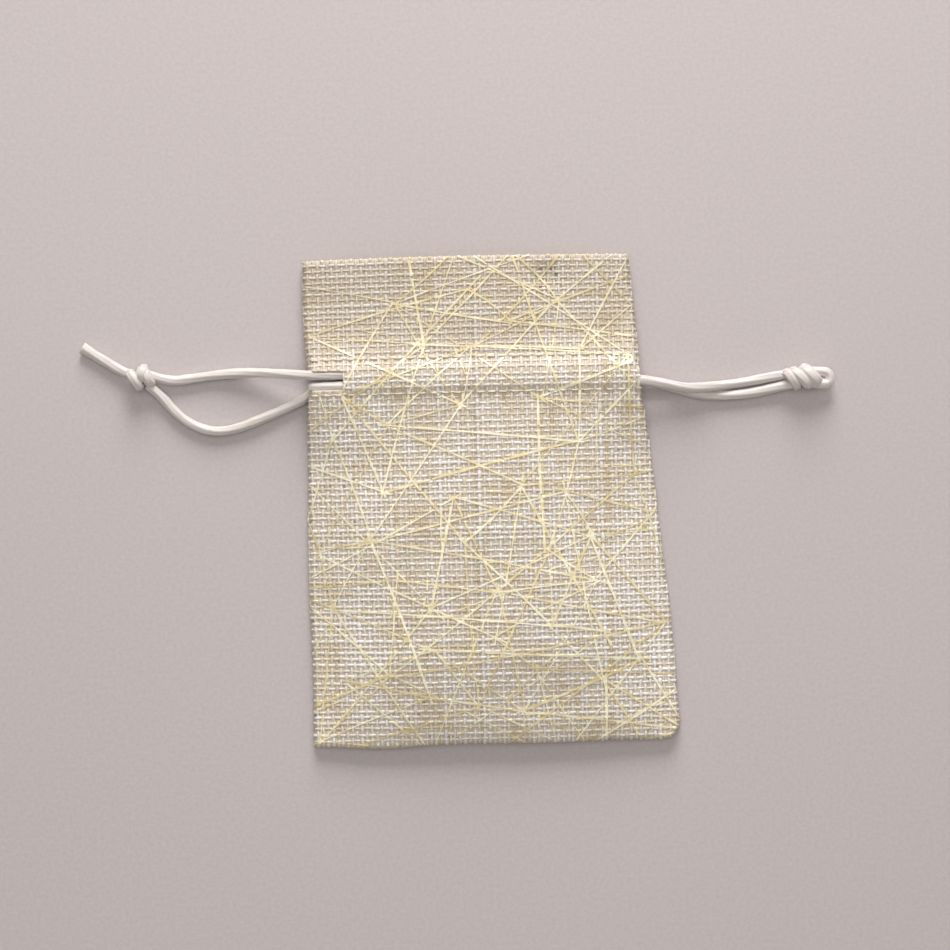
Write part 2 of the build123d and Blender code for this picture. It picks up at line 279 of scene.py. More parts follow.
def foil_film(name, lines, surface, x_range, y_range, cut, face, seed):
    """Thin ribbons of foil that lie on the threads along the lines, as one mesh."""
    draw = np.random.default_rng(seed)
    points, faces, flat, tone = [], [], [], []
    count, across = 0, np.array([-1.0, -0.35, 0.35, 1.0])
    low_y, high_y = y_range
    for number, (x0, y0, x1, y1, half) in enumerate(lines):
        reach = np.hypot(x1 - x0, y1 - y0)
        steps = int(reach / FILM_STEP) + 1
        t = np.linspace(0, 1, steps + 1)
        bow, ripple = draw.normal(0, 0.35), draw.random(2) * 6
        ux, uy = (x1 - x0) / reach, (y1 - y0) / reach
        shift = bow * np.sin(np.pi * t)
        cx, cy = x0 + (x1 - x0) * t - uy * shift, y0 + (y1 - y0) * t + ux * shift
        slow, quick = np.sin(reach * t / 2.9 + ripple[0]), np.sin(reach * t / 0.9 + ripple[1])
        width = half * (1 + 0.22 * slow + 0.13 * quick)
        shine = draw.random()
        near, far = x_range(cy)
        keep = cx > near + np.where(near == MID_X, -0.15, 0.05)
        keep &= cx < far - np.where(far == MID_X, -0.2, 0.05)
        keep &= (cy > low_y) & (cy < high_y)
        keep &= cy > base_edge(cx) + 0.05
        if cut is not None:
            keep &= ~cut(cx, cy)
        worn = np.sin(cx * 0.9 + number) + np.sin(cy * 1.27 + 2 * number) + np.sin(cx * 2.3 - cy * 1.9)
        keep &= worn > (-2.75 if half > 0.25 else -2.3)
        for begin, end in runs(keep, 3):
            px = cx[begin:end, None] - uy * width[begin:end, None] * across
            py = cy[begin:end, None] + ux * width[begin:end, None] * across
            z = surface(px, py) + cloth_top(px, py, face)
            rows, columns = px.shape
            top = np.stack([px, py, z + FILM_HALF], -1).reshape(-1, 3)
            under = np.stack([px, py, z - FILM_HALF], -1).reshape(-1, 3)
            size = rows * columns
            ring = list(range(columns)) + [size + c for c in range(columns - 1, -1, -1)]
            r = np.arange(rows - 1)
            for a, b in zip(ring, ring[1:] + ring[:1]):
                quad = np.stack(
                    [a + r * columns, a + (r + 1) * columns, b + (r + 1) * columns, b + r * columns], -1
                )
                faces += (quad + count).tolist()
            faces.append([count + c for c in ring])
            faces.append([count + (rows - 1) * columns + c for c in reversed(ring)])
            points += [top, under]
            flat.append(np.stack([px, py], -1).reshape(-1, 2))
            flat.append(flat[-1])
            tone.append(np.full(2 * size, shine))
            count += 2 * size
    obj = new_mesh(name, np.concatenate(points), faces, smooth=False)
    flat = np.concatenate(flat)
    add_values(obj, "tone", np.concatenate(tone))
    add_flat_map(obj, flat)
    return obj


# ---- meshes ----
def new_mesh(name, points, faces, uv=None, smooth=True):
    """An object from points in millimetres and faces of any size. uv is one pair per face corner."""
    mesh = bpy.data.meshes.new(name)
    mesh.from_pydata((np.asarray(points) * MM).tolist(), [], faces)
    if smooth:
        mesh.polygons.foreach_set("use_smooth", [True] * len(mesh.polygons))
    if uv is not None:
        layer = mesh.uv_layers.new(name="OFBake")
        layer.data.foreach_set("uv", np.asarray(uv, np.float32).ravel())
    mesh.update()
    obj = bpy.data.objects.new(name, mesh)
    scene.collection.objects.link(obj)
    return obj


def add_values(obj, name, values):
    layer = obj.data.attributes.new(name, "FLOAT", "POINT")
    layer.data.foreach_set("value", np.asarray(values, np.float32))


def add_flat_map(obj, flat):
    """A UV map that holds each point's place on the flat cloth, in centimetres."""
    mesh = obj.data
    corners = np.empty(len(mesh.loops), np.int64)
    mesh.loops.foreach_get("vertex_index", corners)
    layer = mesh.uv_layers.new(name="Cloth")
    layer.data.foreach_set("uv", flat[corners].astype(np.float32).ravel() * 0.1)


def distances(points):
    """How far each point of a line is from its start, along the line."""
    return np.concatenate([[0], np.cumsum(np.linalg.norm(np.diff(points, axis=0), axis=1))])


def rings_round(centre, side, up, wide, high, angle):
    """A ring of points round each point of a line."""
    return (
        centre[:, None, :]
        + side[:, None, :] * (np.cos(angle)[None, :] * wide)[..., None]
        + up[:, None, :] * (np.sin(angle)[None, :] * high)[..., None]
    )


class Tubes:
    """Closed tubes gathered into one mesh."""

    def __init__(self, sides):
        self.sides, self.points, self.faces, self.uv = sides, [], [], []
        self.tone, self.flat, self.count = [], [], 0

    def add(self, centre, side, up, half_width, half_height, tone=0.5, flat=None):
        sides, rings = self.sides, len(centre)
        angle = 2 * np.pi * np.arange(sides) / sides
        wide, high = np.reshape(half_width, (-1, 1)), np.reshape(half_height, (-1, 1))
        ring = rings_round(centre, side, up, wide, high, angle)
        first = self.count
        r, s = np.meshgrid(np.arange(rings - 1), np.arange(sides), indexing="ij")
        after = (s + 1) % sides
        quads = np.stack(
            [r * sides + s, r * sides + after, (r + 1) * sides + after, (r + 1) * sides + s], -1
        ).reshape(-1, 4) + first
        self.points.append(ring.reshape(-1, 3))
        self.faces += quads.tolist()
        self.faces.append(list(range(first + sides - 1, first - 1, -1)))
        last = first + (rings - 1) * sides
        self.faces.append(list(range(last, last + sides)))
        along = distances(centre)
        along = along / along[-1]
        a0, a1 = along[r], along[r + 1]
        b0, b1 = s / sides, (s + 1) / sides
        row = np.stack([a0, b0, a0, b1, a1, b1, a1, b0], -1).reshape(-1, 2)
        cap = np.stack([np.full(sides, 0.0), np.arange(sides) / sides], 1)
        self.uv.append(np.concatenate([row, cap, cap + [1.0, 0.0]]))
        self.tone.append(np.full(rings * sides, tone))
        self.flat.append(ring.reshape(-1, 3)[:, :2] if flat is None else np.repeat(flat, sides, 0))
        self.count += rings * sides

    def build(self, name):
        rows = len(self.uv)
        uv = [np.stack([t[:, 0], (n + 0.06 + 0.88 * t[:, 1]) / rows], 1) for n, t in enumerate(self.uv)]
        obj = new_mesh(name, np.concatenate(self.points), self.faces, np.concatenate(uv))
        add_values(obj, "tone", np.concatenate(self.tone))
        flat = np.concatenate(self.flat)
        add_flat_map(obj, flat)
        return obj, flat


def unit(v):
    return v / np.linalg.norm(v, axis=-1, keepdims=True)


def threads(name, kind, surface, x_range, y_range, cut=None, fine=4.0, seed=0, inset=0.0, face=1):
    """One direction of a plain weave over a region, following a surface, as one mesh of tubes.
    x_range gives the region's two sides at y, and cut(x, y) is true where the cloth is cut away."""
    tubes = Tubes(6)
    low_y, high_y = y_range
    if kind == "warp":
        pitch, other, half, own = WARP_PITCH, WEFT_PITCH, WARP_HALF, 7
        across_x, across_y, sign = 1.0, 0.0, 1
    else:
        pitch, other, half, own = WEFT_PITCH, WARP_PITCH, WEFT_HALF, 13
        across_x, across_y, sign = 0.0, 1.0, -1
    for number in range(-60, 60):
        draw = np.random.default_rng(1000 * (2 * number + 1001) + own + seed * 77)
        place = (number + 0.5) * pitch + draw.normal(0, 0.1)
        tone, thick = draw.normal(0.5, 0.28), np.clip(draw.normal(0.94, 0.17), 0.6, 1.3)
        phase = [draw.random() for _ in range(3)]
        spacing = other / fine
        if kind == "warp":
            ys = np.arange(np.ceil(low_y / spacing), np.floor(high_y / spacing) + 1) * spacing
            ends = [low_y, high_y]
            if along_base(y_range):
                ends += [low_y + 0.08, low_y + 0.3, low_y + 0.7]
            at = np.unique(np.round(np.concatenate([ys, ends]), 4))
            bottom = np.maximum(low_y, base_edge(place) if along_base(y_range) else low_y)
            at = np.unique(np.concatenate([at[at > bottom + 0.05], [bottom]]))
            near, far = x_range(at)
            sides = (place > near + inset) & (place < far - inset)
            x, y = np.full(at.shape, place), at
        else:
            if not low_y <= place <= high_y:
                continue
            near, far = (float(v) for v in x_range(np.array(place)))
            near, far = near + inset, far - inset
            xs = np.arange(np.ceil(near / spacing), np.floor(far / spacing) + 1) * spacing
            ends = [near, near + 0.08, near + 0.3, near + 0.7, far - 0.7, far - 0.3, far - 0.08, far]
            at = np.unique(np.round(np.concatenate([xs, ends]), 4))
            at = at[(at >= near) & (at <= far)]
            x, y = at, np.full(at.shape, place)
            sides = y >= base_edge(x)
        keep = sides if cut is None else sides & ~cut(x, y)
        for begin, end in runs(keep, 4):
            px, py = x[begin:end], y[begin:end]
            run = py if kind == "warp" else px
            drift = sum(
                np.sin(2 * np.pi * (run / length + p)) * 0.05
                for length, p in zip((31.0, 12.0, 5.3), phase)
            )
            px, py = px + drift * across_x, py + drift * across_y
            swing = sign * np.cos(np.pi * run / other + np.pi * (number + 0.5))
            z = surface(px, py)
            gap_x, gap_y = SLOPE_GAP * across_x, SLOPE_GAP * across_y
            lean = (surface(px + gap_x, py + gap_y) - surface(px - gap_x, py - gap_y)) / (2 * SLOPE_GAP)
            side = unit(np.stack(
                [np.full_like(z, across_x), np.full_like(z, across_y), np.clip(lean, -2, 2)], 1
            ))
            centre = np.stack([px, py, z], 1)
            tangent = unit(np.gradient(centre, axis=0))
            up = unit(sign * np.cross(side, tangent))
            centre = centre + up * (WAVE * swing * face)[:, None]
            slow = np.sin(2 * np.pi * (run / 7.7 + phase[0]))
            quick = np.sin(2 * np.pi * (run / 3.1 + phase[1]))
            slub = 1 + 0.13 * slow * quick
            width = half * thick * slub * (1 + 0.1 * swing * face)
            flat = np.stack([px, py], 1)
            tubes.add(centre, side, up, width, THREAD_RISE * thick, tone, flat)
    return tubes.build(name)


def ground(name, surface, x_range, y_range, cut=None, pitch=0.8, inside=1, inset=0.15):
    """The closed cloth under the threads: a thin slab that follows the same surface."""
    low_y, high_y = y_range
    rows = max(8, int((high_y - low_y) / pitch))
    ys = np.linspace(low_y, high_y, rows + 1)
    if cut is not None:
        for line in (NOTCH_LOW, NOTCH_HIGH):
            ys[np.argmin(np.abs(ys - line))] = line
    near, far = x_range(ys)
    near = near + inset * (near != MID_X)
    far = far - inset * (far != MID_X)
    columns = max(8, int(np.max(far - near) / pitch))
    t = np.linspace(0, 1, columns + 1)
    x = near[:, None] + (far - near)[:, None] * t[None, :]
    y = np.repeat(ys[:, None], columns + 1, 1)
    if along_base(y_range):
        y = y + (base_edge(x) + 0.1 - low_y) * (1 - step(y, low_y, low_y + 9))
    z = surface(x, y)
    top = np.stack([x, y, z - SLAB_TOP * inside], -1)
    bottom = np.stack([x, y, z - SLAB_UNDER * inside], -1)
    if inside < 0:
        top, bottom = bottom, top
    count = x.size
    points = np.concatenate([top.reshape(-1, 3), bottom.reshape(-1, 3)])
    kept = np.ones((rows, columns), bool)
    if cut is not None:
        kept = ~cut((x[1:, 1:] + x[:-1, :-1]) / 2, (y[1:, 1:] + y[:-1, :-1]) / 2)
    index = np.arange(count).reshape(rows + 1, columns + 1)
    faces, uv = [], []
    flat_u = (x - x.min()) / (x.max() - x.min())
    flat_v = (y - y.min()) / (y.max() - y.min())
    place = np.stack([flat_u * 0.49, flat_v], -1).reshape(-1, 2)

    def add(corners):
        faces.append(corners)
        for c in corners:
            u, v = place[c % count]
            uv.append((u + (0.5 if c >= count else 0.0), v))

    held = np.pad(kept, 1)
    for r, c in np.argwhere(kept):
        a, b = int(index[r, c]), int(index[r, c + 1])
        d, e = int(index[r + 1, c]), int(index[r + 1, c + 1])
        add([a, b, e, d])
        add([a + count, d + count, e + count, b + count])
        beyond = held[r, c + 1], held[r + 2, c + 1], held[r + 1, c], held[r + 1, c + 2]
        for covered, (near_end, far_end) in zip(beyond, ((a, b), (e, d), (d, a), (b, e))):
            if not covered:
                add([near_end, near_end + count, far_end + count, far_end])
    obj = new_mesh(name, points, faces, uv)
    flat = np.concatenate([np.stack([x, y], -1).reshape(-1, 2)] * 2)
    add_flat_map(obj, flat)
    cells = (
        0.5 * ((x[1:, 1:] - x[1:, :-1]) + (x[:-1, 1:] - x[:-1, :-1])) * (y[1:, 1:] - y[:-1, 1:]) * kept
    )
    return obj, flat, float(cells.sum())


# ---- materials ----
class Nodes:
    """A short way to write a node tree."""

    def __init__(self, name):
        self.material = bpy.data.materials.new(name)
        self.material.use_nodes = True
        self.tree = self.material.node_tree
        self.shader = self.tree.nodes["Principled BSDF"]

    def node(self, kind, inputs=(), **settings):
        made = self.tree.nodes.new("ShaderNode" + kind)
        for key, value in settings.items():
            setattr(made, key, value)
        for key, value in dict(inputs).items():
            self.feed(made.inputs[key], value)
        return made

    def feed(self, socket, value):
        if isinstance(value, bpy.types.NodeSocket):
            self.tree.links.new(value, socket)
        else:
            socket.default_value = value

    def ramp(self, factor, stops):
        made = self.node("ValToRGB", {0: factor})
        elements = made.color_ramp.elements
        while len(elements) < len(stops):
            elements.new(0.5)
        for element, (place, colour) in zip(elements, stops):
            element.position = place
            element.color = colour
        made.color_ramp.interpolation = "EASE"
        return made.outputs[0]

    def noise(self, vector, scale, detail=3.0, rough=0.5):
        inputs = {"Vector": vector, "Scale": scale, "Detail": detail, "Roughness": rough}
        return self.node("TexNoise", inputs).outputs["Fac"]

    def mapped(self, vector, scale):
        return self.node("Mapping", {"Vector": vector, "Scale": scale}).outputs[0]

    def range(self, value, low, high, to_low=0.0, to_high=1.0):
        inputs = {"Value": value, 1: low, 2: high, 3: to_low, 4: to_high}
        return self.node("MapRange", inputs, clamp=True).outputs[0]

    def math(self, kind, a, b=0.0):
        return self.node("Math", {0: a, 1: b}, operation=kind).outputs[0]

    def mix(self, factor, a, b):
        return self.node("Mix", {0: factor, 6: a, 7: b}, data_type="RGBA").outputs[2]

    def flat(self):
        return self.node("UVMap", uv_map="Cloth").outputs[0]

    def carried(self, name):
        return self.node("Attribute", attribute_name=name).outputs["Fac"]

    def foil_mask(self, flat, low, high, most):
        """most on the foil lines and 0 off them. low and high are how far the edge wanders."""
        edge = self.range(self.noise(flat, 19.0, 3.0, 0.7), 0.25, 0.75, low, high)
        return self.range(self.math("ADD", self.carried("foil"), edge), -0.03, 0.07, most, 0.0)

    def header(self, flat, colour, share=0.38):
        """Painted shade: the cloth is made a little darker above the casing, and a little browner there,
        which is partly the header cloth's own tan.
        """
        up = self.node("SeparateXYZ", {0: flat}).outputs[1]
        return self.mix(self.range(up, 3.3, 4.6, 0.0, share), colour, srgb(176, 160, 136))

    def bump(self, height, strength, distance):
        made = self.node("Bump", {"Height": height, "Strength": strength, "Distance": distance})
        self.feed(self.shader.inputs["Normal"], made.outputs[0])

    def values(self, **named):
        for name, value in named.items():
            self.feed(self.shader.inputs[name.replace("_", " ")], value)


def srgb(red, green, blue):
    """sRGB from 0 to 255 as linear colour."""
    def one(c):
        c = c / 255.0
        return c / 12.92 if c <= 0.04045 else ((c + 0.055) / 1.055) ** 2.4
    return one(red), one(green), one(blue), 1.0


WHITE, PALE = srgb(244, 241, 242), srgb(232, 226, 224)
CREAM, TAN = srgb(219, 207, 191), srgb(195, 173, 144)
GOLD, DEEP_GOLD = srgb(251, 244, 216), srgb(230, 210, 160)
PINHOLES = (1.75, 6.3, 0.0)      # middle of the small holes in the header, in centimetres, whose dark inside is painted shade on the ground


def thread_material(name, across, foiled):
    n = Nodes(name)
    flat = n.flat()
    tone = n.carried("tone")
    stretch = (0.35, 6.0, 1.0) if across else (6.0, 0.35, 1.0)
    patches = n.noise(n.mapped(flat, stretch), 1.1, 2.0, 0.55)
    broad = n.noise(flat, 0.7, 2.0, 0.55)
    fibre = n.noise(n.mapped(flat, (6.0, 70.0, 1.0) if across else (70.0, 6.0, 1.0)), 1.6, 4.0, 0.65)
    fleck = n.noise(flat, 26.0, 3.0, 0.7)
    shade = n.math("ADD", n.math("MULTIPLY", patches, 0.8), n.math("MULTIPLY", tone, 0.45))
    shade = n.math("ADD", shade, n.math("MULTIPLY", n.range(broad, 0.3, 0.7), 0.5))
    body = n.ramp(n.range(shade, 0.5, 1.2), [(0.0, TAN), (0.28, CREAM), (0.55, PALE), (1.0, WHITE)])
    streak = n.mix(n.range(fibre, 0.28, 0.66), srgb(206, 192, 168), body)
    colour = n.mix(n.range(fleck, 0.6, 0.82, 0.0, 0.5), streak, srgb(176, 156, 120))
    height = n.math("ADD", n.math("MULTIPLY", fibre, 0.7), n.math("MULTIPLY", fleck, 0.3))
    if foiled:
        on = n.foil_mask(flat, -0.2, 0.2, 1.0)
        worn = n.range(n.noise(n.mapped(flat, (0.9, 1.3, 1.0)), 0.9, 2.0, 0.6), 0.3, 0.5, 0.55, 1.0)
        on = n.math("MULTIPLY", on, worn)
        metal = n.mix(n.noise(flat, 3.2, 3.0, 0.6), DEEP_GOLD, GOLD)
        # header() paints shade above the casing, with some of the cloth's own tan
        colour = n.header(flat, n.mix(on, colour, metal))
        n.values(Metallic=n.math("MULTIPLY", on, 0.5), Roughness=n.range(on, 0.0, 1.0, 0.86, 0.4))
    else:
        n.values(Roughness=n.range(fibre, 0.2, 0.8, 0.8, 0.92))
    n.values(Base_Color=colour)
    n.shader.inputs["Sheen Weight"].default_value = 0.12
    n.bump(height, 0.5, 0.00012)
    return n.material


def foil_material():
    n = Nodes("gold_foil")
    flat = n.flat()
    tone = n.carried("tone")
    patch = n.noise(flat, 2.2, 3.0, 0.6)
    grain = n.noise(flat, 45.0, 3.0, 0.7)
    dark = n.range(n.math("ADD", patch, n.math("MULTIPLY", tone, 0.3)), 0.48, 0.8)
    colour = n.mix(dark, GOLD, DEEP_GOLD)
    colour = n.mix(n.range(grain, 0.55, 0.8, 0.0, 0.6), colour, srgb(226, 204, 148))
    # header() paints shade on the foil above the casing
    colour = n.header(flat, colour, 0.22)
    n.values(Base_Color=colour, Metallic=n.range(dark, 0.0, 1.0, 0.2, 0.6))
    n.values(Roughness=n.range(grain, 0.2, 0.8, 0.4, 0.6))
    n.bump(grain, 0.5, 0.0001)
    return n.material


def ground_material(name, foiled):
    n = Nodes(name)
    flat = n.flat()
    fibre = n.noise(flat, 34.0, 4.0, 0.7)
    broad = n.noise(flat, 1.3, 2.0, 0.6)
    colour = n.mix(broad, srgb(209, 194, 170), srgb(231, 219, 200))
    colour = n.mix(n.range(fibre, 0.35, 0.7, 0.0, 0.7), colour, srgb(174, 156, 124))
    # painted shade: dark specks stand for tiny pinholes in the cloth
    pinhole_shade_specks = n.range(n.noise(flat, 7.0, 2.0, 0.5), 0.6, 0.72, 0.0, 0.75)
    colour = n.mix(pinhole_shade_specks, colour, srgb(120, 104, 82))
    if foiled:
        # painted shade: small holes near the header's top are dark spots on the uncut ground
        off = n.node("VectorMath", {0: flat, 1: PINHOLES}, operation="DISTANCE").outputs["Value"]
        painted_hole_shade = n.range(n.noise(flat, 8.0, 1.0, 0.5), 0.48, 0.55)
        painted_hole_shade = n.math("MULTIPLY", n.range(off, 0.3, 0.62, 1.0, 0.0), painted_hole_shade)
        colour = n.mix(painted_hole_shade, colour, srgb(98, 82, 62))
        on = n.foil_mask(flat, -0.12, 0.22, 0.9)
        # header() paints shade above the casing, with some of the cloth's own tan
        colour = n.header(flat, n.mix(on, colour, srgb(240, 222, 158)))
        n.values(Metallic=n.math("MULTIPLY", on, 0.4), Roughness=n.range(on, 0.0, 1.0, 0.92, 0.45))
    else:
        n.values(Roughness=n.range(fibre, 0.2, 0.8, 0.85, 0.95))
    n.values(Base_Color=colour)
    n.bump(fibre, 0.6, 0.00015)
    return n.material


def cord_material():
    n = Nodes("cord_satin")
    place = n.flat()
    streak = n.noise(n.mapped(place, (0.9, 26.0, 1.0)), 1.0, 4.0, 0.6)
    soft = n.noise(n.mapped(place, (0.5, 2.0, 1.0)), 1.3, 2.0, 0.5)
    fine = n.noise(n.mapped(place, (5.0, 120.0, 1.0)), 1.0, 3.0, 0.6)
    colour = n.mix(n.range(streak, 0.3, 0.7), srgb(194, 183, 175), srgb(222, 214, 210))
    colour = n.mix(n.range(soft, 0.35, 0.7, 0.0, 0.35), colour, srgb(198, 187, 170))
    n.values(Base_Color=colour, Roughness=n.range(fine, 0.2, 0.8, 0.34, 0.5))
    n.shader.inputs["Sheen Weight"].default_value = 0.25
    n.shader.inputs["Specular IOR Level"].default_value = 0.55
    height = n.math("ADD", n.math("MULTIPLY", streak, 0.7), n.math("MULTIPLY", fine, 0.3))
    n.bump(height, 0.55, 0.00018)
    return n.material


def stitch_material():
    n = Nodes("sewing_thread")
    place = n.node("TexCoord").outputs["Object"]
    twist = n.noise(n.mapped(place, (3.0, 9.0, 3.0)), 900.0, 2.0, 0.5)
    colour = n.mix(twist, srgb(196, 178, 146), srgb(232, 220, 196))
    n.values(Base_Color=colour, Roughness=n.range(twist, 0.0, 1.0, 0.55, 0.75))
    n.bump(twist, 0.4, 0.00008)
    return n.material


MATERIALS = {
    ("warp", True): thread_material("warp_thread_foiled", False, True),
    ("weft", True): thread_material("weft_thread_foiled", True, True),
    ("warp", False): thread_material("warp_thread", False, False),
    ("weft", False): thread_material("weft_thread", True, False),
    ("ground", True): ground_material("cloth_ground_foiled", True),
    ("ground", False): ground_material("cloth_ground", False),
    "foil": foil_material(),
    "cord": cord_material(),
    "stitch": stitch_material(),
}


def follow(obj):
    """Bakes obj's placement into its mesh."""
    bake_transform(obj)


def half_range(side, inset):
    """The two sides of the left or the right half at y, with its outer edge pulled in."""
    def sides(y):
        middle = np.full_like(np.asarray(y, float), MID_X)
        return (left_edge(y) + inset, middle) if side == "left" else (middle, right_edge(y) - inset)
    return sides


def front_notch(x, y):
    """True where the front cloth is open for the left cords."""
    return (x < NOTCH_X) & (y > NOTCH_LOW) & (y < NOTCH_HIGH)


def back_notch(x, y):
    return (x < BACK_NOTCH_X) & (y > BACK_NOTCH_LOW) & (y < BACK_NOTCH_HIGH)


def tucked(surface, lift):
    """A body surface whose tuck is moved a little inwards, so that the neck's cloth covers it."""
    def shifted(x, y):
        return surface(x, y) + lift * step(y, ROW_Y - 0.6, ROW_Y + 0.2)
    return shifted


def cloth(name, node, surface, side, y_range, foil=None, cut=None, fine=4.0, seed=0,
          inside=1, inset=0.0):
    """One region of cloth: its ground, its two sets of threads, and its foil if it has any.
    fine is the number of points from one crossing thread to the next, inside is 1 where the
    threads' tops face up and -1 where they face down, and inset pulls the side edge in."""
    x_range = half_range(side, inset)
    slab, flat, area = ground(f"{name}_ground", surface, x_range, y_range, cut, 0.8, inside)
    slab.data.materials.append(MATERIALS["ground", foil is not None])
    pieces = [slab]
    if foil is not None:
        add_values(slab, "foil", to_foil(flat[:, 0], flat[:, 1], foil))
    for kind in ("warp", "weft"):
        obj, flat = threads(f"{name}_{kind}", kind, surface, x_range, y_range, cut, fine, seed, face=inside)
        obj.data.materials.append(MATERIALS[kind, foil is not None])
        if foil is not None:
            add_values(obj, "foil", to_foil(flat[:, 0], flat[:, 1], foil))
        pieces.append(obj)
    if foil is not None:
        film = foil_film(f"{name}_foil", foil, surface, x_range, y_range, cut, inside, seed + 11)
        film.data.materials.append(MATERIALS["foil"])
        pieces.append(film)
    for obj in pieces:
        follow(obj)
    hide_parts(node)


# ---- seams inside, and stitches ----
STITCH_PITCH, STITCH_HALF = 3.4, 1.1
SEAM_LEVEL, HEADER_LEVEL = 1.35, 2.4     # heights of the allowances
ALLOWANCES = {}          # the pieces that count with each back sheet


def seam(name, node, surface, x_range, y_range):
    """A seam allowance, which is a strip of plain cloth."""
    slab, _, _ = ground(name, surface, x_range, y_range, None, 1.0, 1, 0.0)
    slab.data.materials.append(MATERIALS["ground", False])
    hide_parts(node)
    return slab


def stitch_row(name, node, places, surface, along_y, body=None):
    """A row of short stitches that dip into the cloth at both ends."""
    tubes = Tubes(6)
    for x, y in places:
        s = np.linspace(-STITCH_HALF, STITCH_HALF, 7)
        px, py = (np.full(7, x), y + s) if along_y else (x + s, np.full(7, y))
        z = surface(px, py) + 0.42 - 0.5 * np.abs(s / STITCH_HALF) ** 2.5
        centre = np.stack([px, py, z], 1)
        tangent = unit(np.gradient(centre, axis=0))
        across = np.tile([1.0, 0, 0] if along_y else [0, 1.0, 0], (7, 1))
        up = unit(np.cross(across, tangent) if along_y else np.cross(tangent, across))
        tubes.add(centre, across, up, 0.24, 0.17, 0.5)
    obj, _ = tubes.build(name)
    obj.data.materials.append(MATERIALS["stitch"])
    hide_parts(node)
    if body:
        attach(obj, body)
    else:
        follow(obj)


def spots(start, end):
    """Middles of the stitches from start to end."""
    count = int((end - start) // STITCH_PITCH)
    return [start + STITCH_PITCH * (i + 0.5) for i in range(count)]


for row, y in (("lower", ROW_Y), ("upper", UPPER_ROW_Y)):
    for side in ("left", "right"):
        xs = spots(-51.5, MID_X) if side == "left" else spots(MID_X, float(right_edge(y)) - 1.0)
        stitch_row(f"front_{row}_stitches_{side}", f"front_{row}_stitches", [(x, y) for x in xs],
                   front_surface, False)
        inner = [x for x in xs if -32.5 < x < 37.0]
        stitch_row(f"back_{row}_stitches_{side}", f"back_{row}_stitches", [(x, y) for x in inner],
                   back_hem_surface, False)


def seam_height(level):
    """A slightly wavy surface at a level."""
    def surface(x, y):
        x, y = grids(x, y)
        return level + 0.12 * np.sin(y * 0.7) * np.sin(x * 0.9) + 0.1 * np.sin(y * 0.23)
    return surface


SIDE_Y, HEADER_Y = (-63.5, 19.0), (50.5, 68.4)
for side in ("left", "right"):
    for part, body, span, level in (
        ("side", f"{side}_side", SIDE_Y, SEAM_LEVEL), ("header", f"{side}_neck", HEADER_Y, HEADER_LEVEL)
    ):
        def bounds_at(y, side=side):
            edge = left_edge(y) if side == "left" else right_edge(y)
            return (edge + 1.5, edge + 6.2) if side == "left" else (edge - 6.2, edge - 1.5)
        slab = seam(
            f"{side}_{part}_seam_allowance", f"{side}_{part}_seam", seam_height(level), bounds_at, span
        )
        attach(slab, body)
        ALLOWANCES[side, part] = [slab]
        middle = [(float(sum(bounds_at(y)) / 2), y) for y in spots(span[0], span[1])]
        stitch_row(f"{side}_{part}_stitch_row", f"{side}_{part}_stitches", middle,
                   seam_height(level), True, body=body)
    near, far = (LEFT_X + 1.8, MID_X) if side == "left" else (MID_X, 48.0)
    slab = seam(
        f"bottom_seam_allowance_{side}", "bottom_seam", seam_height(SEAM_LEVEL),
        lambda y, near=near, far=far: (np.full_like(y, near), np.full_like(y, far)), (-68.2, -63.9)
    )
    follow(slab)
    ALLOWANCES[side, "side"].append(slab)
    stitch_row(f"bottom_stitch_row_{side}", "bottom_stitches",
               [(x, -66.1) for x in spots(near, far)], seam_height(SEAM_LEVEL), False)

# ---- the cloth ----
FRONT_FOIL, BACK_FOIL = foil_net(115), foil_net(75)
BODY_Y, NECK_Y, HEM_Y = (BASE_Y, ROW_Y + TUCK), (ROW_Y, MOUTH_Y), (29.9, MOUTH_Y - 0.1)
for side in ("left", "right"):
    cut = front_notch if side == "left" else None
    back_cut = back_notch if side == "left" else None
    cloth(f"front_body_{side}", "front_panel", tucked(front_surface, -0.1), side, BODY_Y,
          foil=FRONT_FOIL, cut=cut)
    cloth(f"front_neck_{side}", "front_panel", front_surface, side, NECK_Y,
          foil=FRONT_FOIL, cut=cut)
    cloth(f"back_body_{side}", "back_panel", tucked(back_surface, 0.1), side, BODY_Y,
          foil=BACK_FOIL, cut=back_cut, fine=2.5, seed=5, inside=-1)
    cloth(f"back_neck_{side}", "back_panel", back_surface, side, NECK_Y,
          foil=BACK_FOIL, cut=back_cut, fine=2.5, seed=5, inside=-1)
    cloth(f"front_hem_{side}", "front_hem", front_hem_surface, side, HEM_Y,
          cut=cut, fine=2.5, seed=2, inset=2.4, inside=-1)
    cloth(f"back_hem_{side}", "back_hem", back_hem_surface, side, HEM_Y,
          cut=back_cut, fine=2.5, seed=3, inset=1.6)

# ---- cords ----
CORD_RADIUS = 1.36
CORD_STEP = 0.45         # from one ring of a cord's mesh to the next
RIBS, RIB_DEPTH = 6, 0.075
AROUND = 32              # points round a cord


